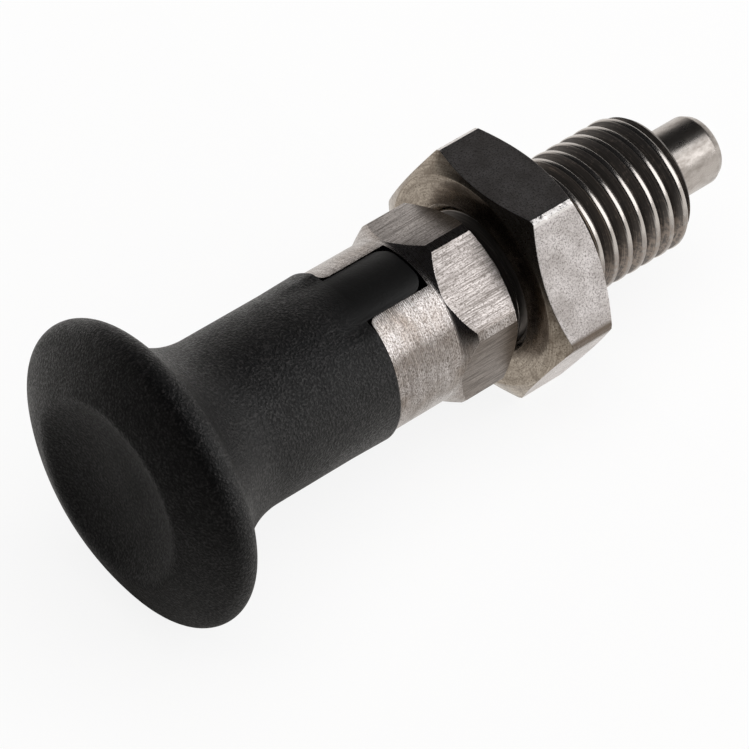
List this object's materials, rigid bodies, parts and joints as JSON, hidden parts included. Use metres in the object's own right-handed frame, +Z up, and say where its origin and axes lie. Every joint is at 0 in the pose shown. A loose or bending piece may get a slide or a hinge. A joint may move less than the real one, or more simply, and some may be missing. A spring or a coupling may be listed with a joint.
{
  "type": "indexing plunger",
  "caption": "Spring-loaded indexing plunger: pull knob with lock-out tabs, hexagon guide with threaded front, locating pin and lock nut.",
  "frame": {"origin": "on the plunger's axis, in the guide's shoulder face where the thread starts", "axes": "+X along the axis, the way the pin points; +Z up, square to the lock nut's upper flat"},
  "size_m": [0.0611, 0.0256, 0.0256],
  "materials": {
    "guide_steel": "turned and milled steel, bright, oiled thread",
    "nut_steel": "bright steel, brushed flats, small nicks at the corners",
    "pin_steel": "hardened and ground steel, satin",
    "spring_steel": "drawn spring wire",
    "bush_steel": "turned steel",
    "knob_plastic": "glass-filled plastic, matt, finely grained"
  },
  "bodies": {
    "guide": {"guide_body": "guide_steel", "retaining_bush": "bush_steel", "spring": "spring_steel"},
    "plunger": {"knob": "knob_plastic", "locating_pin": "pin_steel"},
    "nut": {"lock_nut": "nut_steel"}
  },
  "joints": [
    {"name": "pull", "type": "slide", "parent": "guide", "child": "plunger", "axis": [-1, 0, 0], "range_m": [0, 0.006], "stiffness_N_per_m": 1500, "springref_m": -0.0045, "deforming": ["spring"]},
    {"name": "nut_travel", "type": "slide", "parent": "guide", "child": "nut", "axis": [1, 0, 0], "range_m": [-0.0012, 0.0127]}
  ]
}
